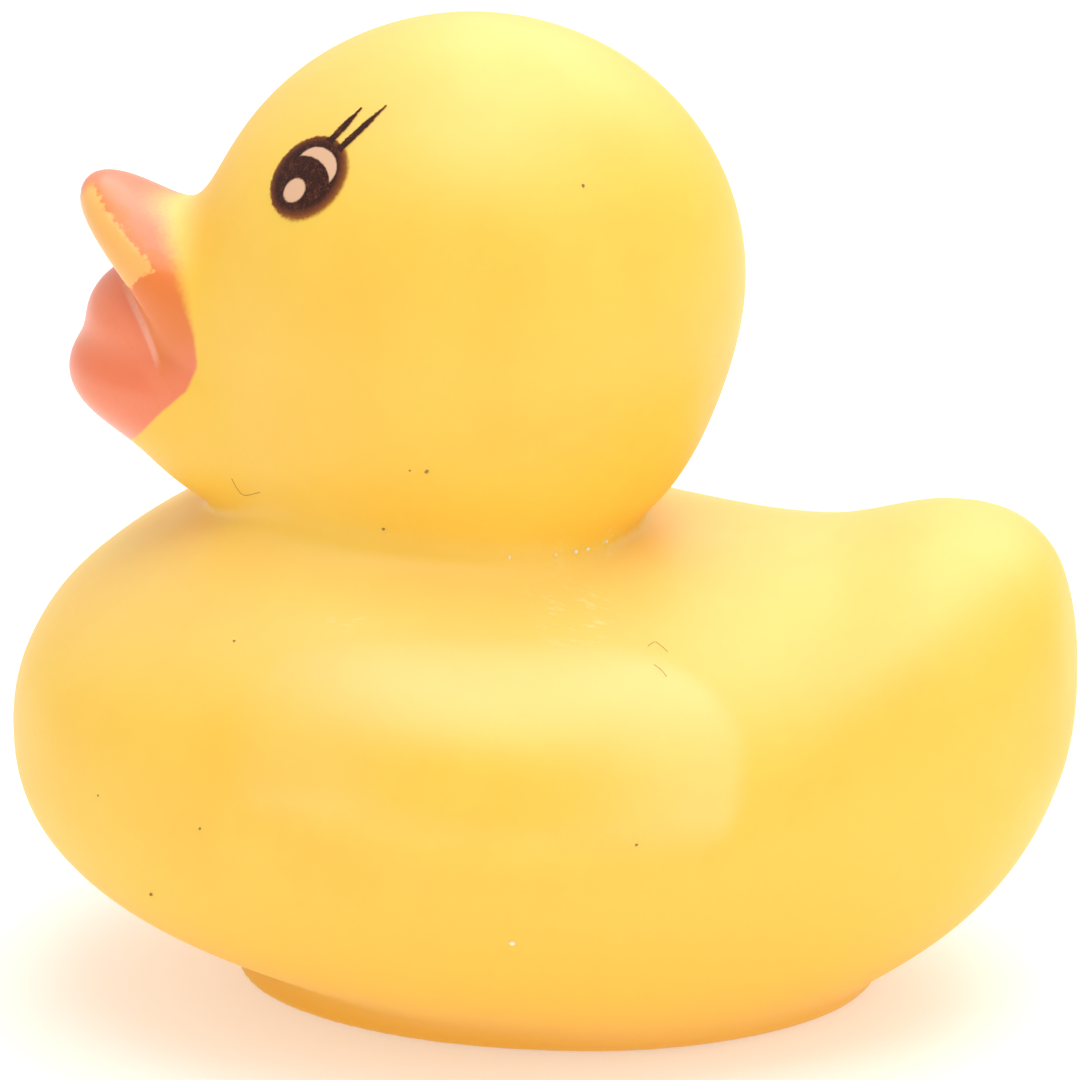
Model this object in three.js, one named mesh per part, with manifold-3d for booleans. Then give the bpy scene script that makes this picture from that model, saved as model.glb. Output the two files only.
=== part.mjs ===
// A small hollow toy duck, moulded in one piece of soft vinyl.
// Millimetres, +Z up. The duck stands on the plane z = 0, its bill points along -Y and its tail
// along +Y, and x = 0 is its plane of symmetry.
//
// The form is a distance-like field: each lobe (hull, foot, skull, jowl, upper bill, tongue, lip, chin)
// is a reshaped ellipsoid, and lobes run into each other with a fillet of a stated width.

import * as THREE from 'three';
import { MarchingCubes } from 'three/addons/objects/MarchingCubes.js';
import { mergeVertices } from 'three/addons/utils/BufferGeometryUtils.js';
import Module from 'manifold-3d';

const wasm = await Module();
wasm.setup();

// ---------------------------------------------------------------- driving dimensions

const WALL = 1.8;                 // thickness of the moulded skin
const VENT_RADIUS = 1.75;         // air hole in the base
const VENT_Y = 3;

const HULL = {
	halfLength: 27.5,
	halfWidth: 22.2,
	taper: 0.38,                  // share of the width lost from the breast to the tail
	taperFrom: - 4.3,
	taperTo: 28,
	noseRoundness: 2.35,          // exponent of the ends in the side view: 2 is an ellipse
	noseTo: - 10,                 // where the nose's roundness starts to turn into the tail's
	tailRoundness: 4.7,
	tailFrom: 12,
	sectionRoundness: 2.3,
	evenness: 2.2,                // spreads the field evenly, so that fillets keep their width
};
// Along the hull: distance from the middle, height of the section's centre, half height of the section.
const HULL_STATIONS = [
	[ - 23.5, 14.2, 12.5 ],
	[ - 12.5, 14.3, 13.4 ],
	[ - 2.5, 13.3, 13.2 ],
	[ 6.5, 12.0, 12.5 ],
	[ 14.5, 12.4, 11.8 ],
	[ 20.5, 14.4, 12.4 ],
	[ 26.5, 16.9, 12.8 ],
];

const FOOT = { centre: [ 0, 0.4, 0 ], radii: [ 11.6, 16.5, 3 ], fillet: 5.5 };

const WING = {
	centreY: - 1.2,
	centreZ: 17.8,
	halfLength: 12.4,
	halfHeight: 5.3,
	squareness: 2.8,              // exponent of the outline: 2 is an ellipse
	tilt: - 6,                    // degrees, front end up
	rise: 1.4,                    // how far the pad stands out
	shoulder: 4.5,                // width of the rounded shoulder inside the crisp top and rear edge
	roundness: 2,                 // exponent of that shoulder: 1 is a bevel
	frontFade: 0.55,              // how much of the fade the front end gets
	fadeFrom: [ 0.2, 0.8 ],       // where the fade starts and is complete, as shares of the half sizes
	fade: 5.3,                    // width over which the pad fades into the belly and breast
};

const SKULL = { centre: [ 0, - 3.77, 37.6 ], radii: [ 13.95, 13.86, 13.2 ] };
const JOWL = { centre: [ 0, - 5, 30.6 ], radii: [ 11.65, 12.1, 8.5 ], fillet: 5 };

// The upper bill is a hood that ends in a rim. The rim's plane leans back by RIM_LEAN degrees, and
// it is bowed: it falls back towards its sides by RIM_BOW times the square of the distance from the
// middle. Low down it curls forward again, by the square of the distance below where the curl starts.
const RIM_LEAN = 36.7;
const RIM_BOW = 0.02;
const RIM_CURL = { from: 4, to: 9, amount: 0.043 };
const RIM_TOP = { y: - 23.8, z: 41.2 };
const HOOD = { down: 6.75, depth: 1, radii: [ 6.15, 7.35, 2.4 ], fillet: 6.85 };
const TONGUE = { centre: [ 0, - 18.4, 35.3 ], radii: [ 5.6, 5.1, 3.25 ], fillet: 1.6 };
const LIP = { centre: [ 0, - 17.1, 32.5 ], radii: [ 6.6, 7.4, 4 ], fillet: 4.3 };
const CHIN = { centre: [ 0, - 13.95, 29.9 ], radii: [ 7, 6.35, 4.7 ], fillet: 4 };
const MOUTH_FILLET = 0.5;

// Grid cells across the whole form and across the cavity.
const OUTSIDE_CELLS = { body: 24, head: 27 };
const INSIDE_CELLS = { body: 15, head: 13 };
const VENT_SIDES = 24;
const TRIANGLE_ROOM = 40000;
const LEAST_SLOPE = 0.02;         // the hull's field is never divided by a slope under this
const SETTLING = {
	rounds: 6,
	passes: 2,
	step: 0.02,                   // for measuring the field's slope
	keep: 0.45,                   // share of its own place that a corner keeps in each round
	leastSteep: 0.05,
	longestMove: 0.8,
};

const vinyl = new THREE.MeshStandardMaterial( { color: 0xffd65a, roughness: 0.45, metalness: 0 } );

// ---------------------------------------------------------------- field helpers

function smoothstep( value, from, to ) {

	const t = Math.min( Math.max( ( value - from ) / ( to - from ), 0 ), 1 );
	return t * t * ( 3 - 2 * t );

}

// Union and cut with a rounded seam of the given width.
function join( a, b, fillet ) {

	const h = Math.max( fillet - Math.abs( a - b ), 0 ) / fillet;
	return Math.min( a, b ) - h * h * h * fillet / 6;

}

function cut( a, b, fillet ) {

	return - join( - a, - b, fillet );

}

function ellipsoid( x, y, z, centre, radii ) {

	const px = ( x - centre[ 0 ] ) / radii[ 0 ];
	const py = ( y - centre[ 1 ] ) / radii[ 1 ];
	const pz = ( z - centre[ 2 ] ) / radii[ 2 ];
	const reach = Math.hypot( px, py, pz );
	const slope = Math.hypot( px / radii[ 0 ], py / radii[ 1 ], pz / radii[ 2 ] );
	return reach * ( reach - 1 ) / Math.max( slope, 1e-6 );

}

// ---------------------------------------------------------------- lobes

// A smooth curve through one column of the stations.
function alongHull( y, column ) {

	const last = HULL_STATIONS.length - 1;
	let i = 0;
	while ( i < last - 1 && y > HULL_STATIONS[ i + 1 ][ 0 ] ) i ++;
	const slope = ( k ) => {

		const a = HULL_STATIONS[ Math.max( k - 1, 0 ) ];
		const b = HULL_STATIONS[ Math.min( k + 1, last ) ];
		return ( b[ column ] - a[ column ] ) / ( b[ 0 ] - a[ 0 ] );

	};

	const [ from, to ] = [ HULL_STATIONS[ i ], HULL_STATIONS[ i + 1 ] ];
	const span = to[ 0 ] - from[ 0 ];
	const t = Math.min( Math.max( ( y - from[ 0 ] ) / span, 0 ), 1 );
	const t2 = t * t;
	const t3 = t2 * t;
	return ( 2 * t3 - 3 * t2 + 1 ) * from[ column ] + ( t3 - 2 * t2 + t ) * span * slope( i )
		+ ( 3 * t2 - 2 * t3 ) * to[ column ] + ( t3 - t2 ) * span * slope( i + 1 );

}

// Breast, belly and tail: one egg, tapered towards the tail and swept up at it.
function hull( x, y, z ) {

	const width = HULL.halfWidth * ( 1 - HULL.taper * smoothstep( y, HULL.taperFrom, HULL.taperTo ) );
	const height = alongHull( y, 2 );
	const towardsTail = smoothstep( y, HULL.noseTo, HULL.tailFrom );
	const end = HULL.noseRoundness + ( HULL.tailRoundness - HULL.noseRoundness ) * towardsTail;
	const round = HULL.sectionRoundness;
	const u = Math.abs( y ) / HULL.halfLength + 1e-9;
	const v = Math.abs( x ) / width;
	const w = Math.abs( z - alongHull( y, 1 ) ) / height;
	const sum = u ** end + v ** round + w ** round;
	const slope = Math.hypot(
		end * u ** ( end - 1 ) / HULL.halfLength,
		round * v ** ( round - 1 ) / width,
		round * w ** ( round - 1 ) / height,
	);
	const power = 1 / HULL.evenness;
	return ( sum ** power - 1 ) / Math.max( slope * power * sum ** ( power - 1 ), LEAST_SLOPE );

}

// How far the wing pads lift the skin at a place in the side view.
function wingRise( y, z ) {

	const tilt = THREE.MathUtils.degToRad( WING.tilt );
	const dy = y - WING.centreY;
	const dz = z - WING.centreZ;
	const along = ( dy * Math.cos( tilt ) + dz * Math.sin( tilt ) ) / WING.halfLength;
	const up = ( dz * Math.cos( tilt ) - dy * Math.sin( tilt ) ) / WING.halfHeight;
	const p = WING.squareness;
	const reach = ( Math.abs( along ) ** p + Math.abs( up ) ** p ) ** ( 1 / p );
	const inside = ( 1 - reach ) * WING.halfHeight;
	const soft = smoothstep( Math.max( - up, - along * WING.frontFade ), ...WING.fadeFrom );
	const crisp = 1 - ( 1 - Math.min( Math.max( inside / WING.shoulder, 0 ), 1 ) ) ** WING.roundness;
	return WING.rise * THREE.MathUtils.lerp( crisp, smoothstep( inside, 0, WING.fade ), soft );

}

// Upper bill, tongue and lower lip on the head.
function headAndBill( x, y, z ) {

	const skull = ellipsoid( x, y, z, SKULL.centre, SKULL.radii );
	const jowl = ellipsoid( x, y, z, JOWL.centre, JOWL.radii );
	const head = join( skull, jowl, JOWL.fillet );

	const lean = THREE.MathUtils.degToRad( RIM_LEAN );
	const dy = y - RIM_TOP.y;
	const dz = z - RIM_TOP.z;
	const down = dy * Math.sin( lean ) - dz * Math.cos( lean );
	const front = - dy * Math.cos( lean ) - dz * Math.sin( lean ) + RIM_BOW * x * x;
	const curled = Math.min( Math.max( down, RIM_CURL.from ), RIM_CURL.to ) - RIM_CURL.from;
	const pastRim = front - RIM_CURL.amount * curled * curled;
	const dome = ellipsoid( x, down, front, [ 0, HOOD.down, - HOOD.depth ], HOOD.radii );
	const hood = cut( join( dome, head, HOOD.fillet ), pastRim, MOUTH_FILLET );

	const tongue = ellipsoid( x, y, z, TONGUE.centre, TONGUE.radii );
	const lip = ellipsoid( x, y, z, LIP.centre, LIP.radii );
	const chin = join( head, ellipsoid( x, y, z, CHIN.centre, CHIN.radii ), CHIN.fillet );
	const mouth = join( join( lip, chin, LIP.fillet ), tongue, TONGUE.fillet );
	return join( Math.min( hood, head ), mouth, MOUTH_FILLET );

}

// Hull and wings on a low mound, which the flat base cuts off.
function body( x, y, z ) {

	const foot = ellipsoid( x, y, z, FOOT.centre, FOOT.radii );
	return join( hull( x, y, z ) - wingRise( y, z ), foot, FOOT.fillet );

}

// ---------------------------------------------------------------- surface from the field

// A box round each form, for the grid it is meshed on. Grid lines are closer together up to a bend.
const BODY_GRID = {
	x: { from: - 24.5, to: 24.5 },
	y: { from: - 28.5, to: 28.5 },
	z: { from: - 4.4, to: 29 },
};
const HEAD_GRID = {
	x: { from: - 14.8, to: 14.8 },
	y: { from: - 25.2, bend: - 16, to: 11, share: 0.38 },
	z: { from: 21, to: 51.8 },
};

// The surface keeps this far from the grid's own corners, so no triangle shrinks to nothing.
const CLEAR_OF_GRID = 0.02;

// Place of a grid line: the first and last lines stand outside the box.
function gridLine( axis, line, cells ) {

	const t = ( line - 1 ) / ( cells - 3 );
	if ( axis.bend === undefined ) return axis.from + ( axis.to - axis.from ) * t;
	if ( t < axis.share ) return axis.from + ( axis.bend - axis.from ) * t / axis.share;
	return axis.bend + ( axis.to - axis.bend ) * ( t - axis.share ) / ( 1 - axis.share );

}

// The closed surface where the field is -depth, with shared corners.
function skin( field, depth, grid, cells ) {

	const cubes = new MarchingCubes( cells, vinyl, false, false, TRIANGLE_ROOM );
	cubes.isolation = 0;
	for ( let k = 0; k < cells; k ++ ) {

		const z = gridLine( grid.z, k, cells );
		for ( let j = 0; j < cells; j ++ ) {

			const y = gridLine( grid.y, j, cells );
			for ( let i = 0; i < cells; i ++ ) {

				const x = gridLine( grid.x, i, cells );
				const inside = - depth - field( x, y, z );
				cubes.field[ i + cells * ( j + cells * k ) ] = inside + Math.sign( inside ) * CLEAR_OF_GRID;

			}

		}

	}

	cubes.update();
	const geometry = weld( cubes.positionArray, cubes.geometry.drawRange.count, grid, cells );
	settle( geometry, ( x, y, z ) => field( x, y, z ) + depth );
	return geometry;

}

// Every corner lies on one edge of the grid, so corners on the same edge are one.
function weld( corners, count, grid, cells ) {

	const known = new Map();
	const positions = [];
	const index = [];
	for ( let i = 0; i < count; i ++ ) {

		const place = [ 0, 1, 2 ].map( ( axis ) => ( corners[ 3 * i + axis ] + 1 ) * cells / 2 );
		const offGrid = place.map( ( value ) => Math.abs( value - Math.round( value ) ) );
		const along = offGrid.indexOf( Math.max( ...offGrid ) );
		const key = place.map( ( value, axis ) => axis === along ? Math.floor( value ) : Math.round( value ) );
		const name = [ ...key, along ].join();
		if ( ! known.has( name ) ) {

			known.set( name, positions.length / 3 );
			positions.push( ...[ 'x', 'y', 'z' ].map( ( axis, a ) => gridLine( grid[ axis ], place[ a ], cells ) ) );

		}

		index.push( known.get( name ) );

	}

	const geometry = new THREE.BufferGeometry();
	geometry.setAttribute( 'position', new THREE.Float32BufferAttribute( positions, 3 ) );
	geometry.setIndex( index );
	return geometry;

}

// Evens out the triangles and brings every corner onto the field's zero surface.
function settle( geometry, field ) {

	const position = geometry.attributes.position;
	const index = geometry.index.array;
	const neighbours = Array.from( { length: position.count }, () => new Set() );
	for ( let t = 0; t < index.length; t += 3 ) {

		for ( let c = 0; c < 3; c ++ ) {

			neighbours[ index[ t + c ] ].add( index[ t + ( c + 1 ) % 3 ] );
			neighbours[ index[ t + ( c + 1 ) % 3 ] ].add( index[ t + c ] );

		}

	}

	const points = Array.from(
		{ length: position.count },
		( _, i ) => new THREE.Vector3().fromBufferAttribute( position, i ),
	);
	const { rounds, passes, step, keep, leastSteep, longestMove } = SETTLING;
	for ( let round = 0; round < rounds; round ++ ) {

		const moved = points.map( ( point, i ) => {

			const mean = new THREE.Vector3();
			for ( const j of neighbours[ i ] ) mean.add( points[ j ] );
			return mean.divideScalar( neighbours[ i ].size ).lerp( point, keep );

		} );
		moved.forEach( ( point, i ) => {

			for ( let pass = 0; pass < passes; pass ++ ) {

				const { x, y, z } = point;
				const value = field( x, y, z );
				const gradient = new THREE.Vector3(
					field( x + step, y, z ) - field( x - step, y, z ),
					field( x, y + step, z ) - field( x, y - step, z ),
					field( x, y, z + step ) - field( x, y, z - step ),
				).divideScalar( 2 * step );
				const steep = Math.max( gradient.lengthSq(), leastSteep );
				const shift = gradient.multiplyScalar( - value / steep );
				point.add( shift.clampLength( 0, longestMove ) );

			}

			points[ i ] = point;

		} );

	}

	points.forEach( ( point, i ) => position.setXYZ( i, point.x, point.y, point.z ) );

}

// ---------------------------------------------------------------- solids

function solid( geometry ) {

	const bare = geometry.clone();
	for ( const name of [ 'normal', 'uv' ] ) bare.deleteAttribute( name );
	const merged = mergeVertices( bare, 1e-5 );
	return new wasm.Manifold( new wasm.Mesh( {
		numProp: 3,
		vertProperties: Float32Array.from( merged.attributes.position.array ),
		triVerts: Uint32Array.from( merged.index.array ),
	} ) );

}

function geometryOf( body ) {

	const { vertProperties, triVerts } = body.getMesh();
	const geometry = new THREE.BufferGeometry();
	geometry.setAttribute( 'position', new THREE.BufferAttribute( Float32Array.from( vertProperties ), 3 ) );
	geometry.setIndex( new THREE.BufferAttribute( Uint32Array.from( triVerts ), 1 ) );
	geometry.computeVertexNormals();
	return geometry;

}

// A block that reaches from far below up to the given height.
function below( height ) {

	const depth = 20;
	const block = new THREE.BoxGeometry( 80, 80, depth );
	block.translate( 0, 0, height - depth / 2 );
	return solid( block );

}

// The whole form, shrunk by the given depth. The head meets the body in a plain crease.
function form( depth, cells ) {

	const trunk = solid( skin( body, depth, BODY_GRID, cells.body ) );
	const top = solid( skin( headAndBill, depth, HEAD_GRID, cells.head ) );
	return trunk.add( top ).subtract( below( depth ) );

}

function duckShell() {

	const vent = new THREE.CylinderGeometry( VENT_RADIUS, VENT_RADIUS, 3 * WALL, VENT_SIDES );
	vent.rotateX( Math.PI / 2 );
	vent.translate( 0, VENT_Y, WALL / 2 );
	const outside = form( 0, OUTSIDE_CELLS );
	const inside = form( WALL, INSIDE_CELLS );
	return geometryOf( outside.subtract( inside ).subtract( solid( vent ) ) );

}

// ---------------------------------------------------------------- the object

const shell = new THREE.Mesh( duckShell(), vinyl );
shell.name = 'duck_shell';

const rubberDuck = new THREE.Group();
rubberDuck.name = 'rubber_duck';
rubberDuck.add( shell );

export default rubberDuck;
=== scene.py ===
"""A small hollow vinyl duck with a painted bill and printed eyes, on a pale studio floor.

The skin is worked out from the same lobes as the CAD model: hull, foot, head, jowl, upper bill,
tongue and lower lip, each a reshaped ellipsoid, run into each other with fillets of a stated width.
All form sizes are in millimetres, with the bill towards -Y and the tail towards +Y.
"""

import math

import bpy
import numpy as np
from bpy.props import FloatProperty, FloatVectorProperty, PointerProperty
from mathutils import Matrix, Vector


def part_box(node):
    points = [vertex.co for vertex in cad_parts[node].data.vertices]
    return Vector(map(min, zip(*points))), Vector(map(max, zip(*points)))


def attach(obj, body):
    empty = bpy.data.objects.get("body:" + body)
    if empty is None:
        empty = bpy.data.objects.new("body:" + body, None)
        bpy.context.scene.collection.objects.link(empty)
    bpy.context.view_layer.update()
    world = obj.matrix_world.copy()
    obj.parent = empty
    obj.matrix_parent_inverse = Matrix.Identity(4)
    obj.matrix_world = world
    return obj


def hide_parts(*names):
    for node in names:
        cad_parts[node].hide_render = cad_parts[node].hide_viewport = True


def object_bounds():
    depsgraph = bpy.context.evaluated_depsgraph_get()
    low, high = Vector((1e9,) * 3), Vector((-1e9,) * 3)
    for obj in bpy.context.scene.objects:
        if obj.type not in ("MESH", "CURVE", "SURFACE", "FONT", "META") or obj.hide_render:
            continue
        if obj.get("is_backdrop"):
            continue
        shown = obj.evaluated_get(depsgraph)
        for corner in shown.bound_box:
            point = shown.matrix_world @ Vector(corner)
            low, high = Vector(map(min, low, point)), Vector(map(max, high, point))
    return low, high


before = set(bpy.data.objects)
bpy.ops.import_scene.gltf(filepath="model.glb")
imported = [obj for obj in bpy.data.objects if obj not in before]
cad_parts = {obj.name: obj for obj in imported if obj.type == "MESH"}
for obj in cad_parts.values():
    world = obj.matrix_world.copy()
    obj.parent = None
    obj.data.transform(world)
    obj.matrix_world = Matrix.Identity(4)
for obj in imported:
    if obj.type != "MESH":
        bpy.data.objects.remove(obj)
CAD_BOX = [list(corner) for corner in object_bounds()]

bl_info = {
    "name": "Vinyl duck",
    "version": (1, 0, 0),
    "blender": (4, 5, 0),
    "location": "View3D > Sidebar > Duck",
    "description": "Builds a moulded vinyl duck with painted bill and printed eyes",
    "category": "Add Mesh",
}

MM = 0.001
NODE = "duck_shell"

# ------------------------------------------------------------------ form, in millimetres

BOX_LOW, BOX_HIGH = (np.array(corner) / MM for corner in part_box(NODE))
HALF_LENGTH = (BOX_HIGH[1] - BOX_LOW[1]) / 2

HULL_HALF_WIDTH = 22.2
HULL_TAPER = 0.38
HULL_TAPER_FROM = -4.3
HULL_TAPER_TO = 28.0
NOSE_ROUNDNESS = 2.35
NOSE_TO = -10.0
TAIL_ROUNDNESS = 4.7
TAIL_FROM = 12.0
SECTION_ROUNDNESS = 2.3
HULL_EVENNESS = 2.2
LEAST_SLOPE = 0.02
# Along the hull: distance from the middle, height of the section's centre, half its height.
HULL_STATIONS = np.array([
    (-23.5, 14.2, 12.5),
    (-12.5, 14.3, 13.4),
    (-2.5, 13.3, 13.2),
    (6.5, 12.0, 12.5),
    (14.5, 12.4, 11.8),
    (20.5, 14.4, 12.4),
    (26.5, 16.9, 12.8),
])

FOOT = {"centre": (0, 0.4, 0), "radii": (11.6, 16.5, 3.0), "fillet": 5.5}
BASE_ROUNDING = 0.9
VENT = {"radius": 1.75, "y": 3.0, "depth": 7.0}

# The wing pads: a crisp top and rear edge with a low lip and a rounded shoulder, faded elsewhere.
WING = {
    "centre_y": -1.2, "centre_z": 17.8, "half_length": 12.4, "half_height": 5.3,
    "tilt": -6.0, "rise": 1.4, "shoulder": 4.5, "fade": 5.3, "roundness": 2.0, "squareness": 2.8,
    "front_fade": 0.55, "lip": 0.10, "lip_width": 0.6, "fade_from": (0.2, 0.8),
}

SKULL = {"centre": (0, -3.77, 37.6), "radii": (13.95, 13.86, 13.2)}
JOWL = {"centre": (0, -5.0, 30.6), "radii": (11.65, 12.1, 8.5), "fillet": 5.0}
NECK_FILLET = {"middle": 1.6, "sides": 5.0, "from": 3.0, "to": 10.0}

# The upper bill is a hood that ends in a flat rim, on a plane that leans back.
RIM_LEAN = 36.7
RIM_TOP = (-23.8, 41.2)
RIM_BOW = 0.02
RIM_CURL = {"from": 4.0, "to": 9.0, "amount": 0.043}
HOOD = {"down": 6.75, "depth": 1.0, "radii": (6.15, 7.35, 2.4), "fillet": 6.85}
TONGUE = {"centre": (0, -18.4, 35.3), "radii": (5.6, 5.1, 3.25), "fillet": 1.6}
LIP = {"centre": (0, -17.1, 32.5), "radii": (6.6, 7.4, 4.0), "fillet": 4.3}
CHIN = {"centre": (0, -13.95, 29.9), "radii": (7.0, 6.35, 4.7), "fillet": 4.0}
MOUTH_FILLET = 0.5


def smoothstep(value, start, end):
    t = np.clip((value - start) / (end - start), 0, 1)
    return t * t * (3 - 2 * t)


def join(a, b, fillet):
    """Union of two forms with a rounded seam."""
    h = np.maximum(fillet - np.abs(a - b), 0) / fillet
    return np.minimum(a, b) - h ** 3 * fillet / 6


def cut(a, b, fillet):
    """What two forms share, with a rounded edge."""
    return -join(-a, -b, fillet)


def ellipsoid(x, y, z, centre, radii):
    px, py, pz = (x - centre[0]) / radii[0], (y - centre[1]) / radii[1], (z - centre[2]) / radii[2]
    reach = np.sqrt(px * px + py * py + pz * pz)
    slope = np.sqrt((px / radii[0]) ** 2 + (py / radii[1]) ** 2 + (pz / radii[2]) ** 2)
    return reach * (reach - 1) / np.maximum(slope, 1e-6)


def along_hull(y, column):
    """A smooth curve through one column of the hull's stations."""
    at, value = HULL_STATIONS[:, 0], HULL_STATIONS[:, column]
    slope = np.empty(len(at))
    slope[1:-1] = (value[2:] - value[:-2]) / (at[2:] - at[:-2])
    slope[0] = (value[1] - value[0]) / (at[1] - at[0])
    slope[-1] = (value[-1] - value[-2]) / (at[-1] - at[-2])
    i = np.clip(np.searchsorted(at, y, side="right") - 1, 0, len(at) - 2)
    span = at[i + 1] - at[i]
    t = np.clip((y - at[i]) / span, 0, 1)
    return ((2 * t ** 3 - 3 * t ** 2 + 1) * value[i] + (t ** 3 - 2 * t ** 2 + t) * span * slope[i]
            + (3 * t ** 2 - 2 * t ** 3) * value[i + 1] + (t ** 3 - t ** 2) * span * slope[i + 1])


def hull(x, y, z):
    """Breast, belly and tail: one egg, tapered towards the tail and swept up at it."""
    width = HULL_HALF_WIDTH * (1 - HULL_TAPER * smoothstep(y, HULL_TAPER_FROM, HULL_TAPER_TO))
    height = along_hull(y, 2)
    end = NOSE_ROUNDNESS + (TAIL_ROUNDNESS - NOSE_ROUNDNESS) * smoothstep(y, NOSE_TO, TAIL_FROM)
    u = np.abs(y) / HALF_LENGTH + 1e-9
    v = np.abs(x) / width
    w = np.abs(z - along_hull(y, 1)) / height
    total = u ** end + v ** SECTION_ROUNDNESS + w ** SECTION_ROUNDNESS
    slope = np.sqrt(
        (end * u ** (end - 1) / HALF_LENGTH) ** 2
        + (SECTION_ROUNDNESS * v ** (SECTION_ROUNDNESS - 1) / width) ** 2
        + (SECTION_ROUNDNESS * w ** (SECTION_ROUNDNESS - 1) / height) ** 2)
    power = 1 / HULL_EVENNESS
    return (total ** power - 1) / np.maximum(slope * power * total ** (power - 1), LEAST_SLOPE)


def wing_place(y, z):
    """How far inside the wing pad's outline a place lies, and how far its edge is faded there."""
    tilt = math.radians(WING["tilt"])
    dy, dz = y - WING["centre_y"], z - WING["centre_z"]
    along = (dy * math.cos(tilt) + dz * math.sin(tilt)) / WING["half_length"]
    up = (dz * math.cos(tilt) - dy * math.sin(tilt)) / WING["half_height"]
    p = WING["squareness"]
    inside = (1 - (np.abs(along) ** p + np.abs(up) ** p) ** (1 / p)) * WING["half_height"]
    soft = smoothstep(np.maximum(-up, -along * WING["front_fade"]), *WING["fade_from"])
    return inside, soft


def wing_rise(y, z):
    """How far the wing pads lift the skin: crisp along their top and rear, faded below and in front."""
    inside, soft = wing_place(y, z)
    crisp = 1 - (1 - np.clip(inside / WING["shoulder"], 0, 1)) ** WING["roundness"]
    lip = WING["lip"] * (1 - crisp) * smoothstep(inside, 0, WING["lip_width"])
    crisp = np.where(inside > 0, crisp + lip, 0)
    return WING["rise"] * (crisp * (1 - soft) + smoothstep(inside, 0, WING["fade"]) * soft)


def body(x, y, z):
    foot = ellipsoid(x, y, z, FOOT["centre"], FOOT["radii"])
    solid = join(hull(x, y, z) - wing_rise(y, z), foot, FOOT["fillet"])
    solid = cut(solid, -z, BASE_ROUNDING)
    vent = np.minimum(VENT["radius"] - np.sqrt(x * x + (y - VENT["y"]) ** 2), VENT["depth"] - z)
    return np.maximum(solid, vent)


def rim_distance(x, y, z):
    """How far a place lies down the rim from its top, and how far in front of the rim's face."""
    lean = math.radians(RIM_LEAN)
    dy, dz = y - RIM_TOP[0], z - RIM_TOP[1]
    down = dy * math.sin(lean) - dz * math.cos(lean)
    front = -dy * math.cos(lean) - dz * math.sin(lean)
    curl = RIM_CURL["amount"] * (np.clip(down, RIM_CURL["from"], RIM_CURL["to"]) - RIM_CURL["from"]) ** 2
    return down, front, front + RIM_BOW * x * x - curl


def head_and_bill(x, y, z):
    skull = ellipsoid(x, y, z, SKULL["centre"], SKULL["radii"])
    jowl = ellipsoid(x, y, z, JOWL["centre"], JOWL["radii"])
    head = join(skull, jowl, JOWL["fillet"])
    down, front, past_rim = rim_distance(x, y, z)
    dome = ellipsoid(x, down, front + RIM_BOW * x * x, (0, HOOD["down"], -HOOD["depth"]), HOOD["radii"])
    hood = cut(join(dome, head, HOOD["fillet"]), past_rim, MOUTH_FILLET)
    tongue = ellipsoid(x, y, z, TONGUE["centre"], TONGUE["radii"])
    lip = ellipsoid(x, y, z, LIP["centre"], LIP["radii"])
    chin = join(head, ellipsoid(x, y, z, CHIN["centre"], CHIN["radii"]), CHIN["fillet"])
    mouth = join(join(lip, chin, LIP["fillet"]), tongue, TONGUE["fillet"])
    return join(np.minimum(hood, head), mouth, MOUTH_FILLET)


def duck(x, y, z):
    """The neck's seam is tight in front and behind, and wide at the sides."""
    sideways = smoothstep(np.abs(x), NECK_FILLET["from"], NECK_FILLET["to"])
    seam = NECK_FILLET["middle"] + (NECK_FILLET["sides"] - NECK_FILLET["middle"]) * sideways
    return join(body(x, y, z), head_and_bill(x, y, z), seam)


# ------------------------------------------------------------------ surface from the form

def grid_lines(stretches):
    """Grid lines from a list of (from, to, spacing)."""
    lines = [np.linspace(a, b, max(2, round((b - a) / step) + 1))[:-1] for a, b, step in stretches]
    return np.concatenate([*lines, [stretches[-1][1]]])


def gradient(form, points, step=0.02):
    x, y, z = points.T
    return np.stack([
        form(x + step, y, z) - form(x - step, y, z),
        form(x, y + step, z) - form(x, y - step, z),
        form(x, y, z + step) - form(x, y, z - step)], axis=1) / (2 * step)


def onto_surface(form, points, passes=4, reach=0.3, least_steep=0.05):
    """Moves points along the form's slope until they lie on its surface."""
    for _ in range(passes):
        slope = gradient(form, points)
        value = form(*points.T)
        shift = -(value / np.maximum((slope ** 2).sum(1), least_steep))[:, None] * slope
        size = np.linalg.norm(shift, axis=1, keepdims=True)
        points = points + shift * np.minimum(1, reach / np.maximum(size, 1e-9))
    return points


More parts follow.
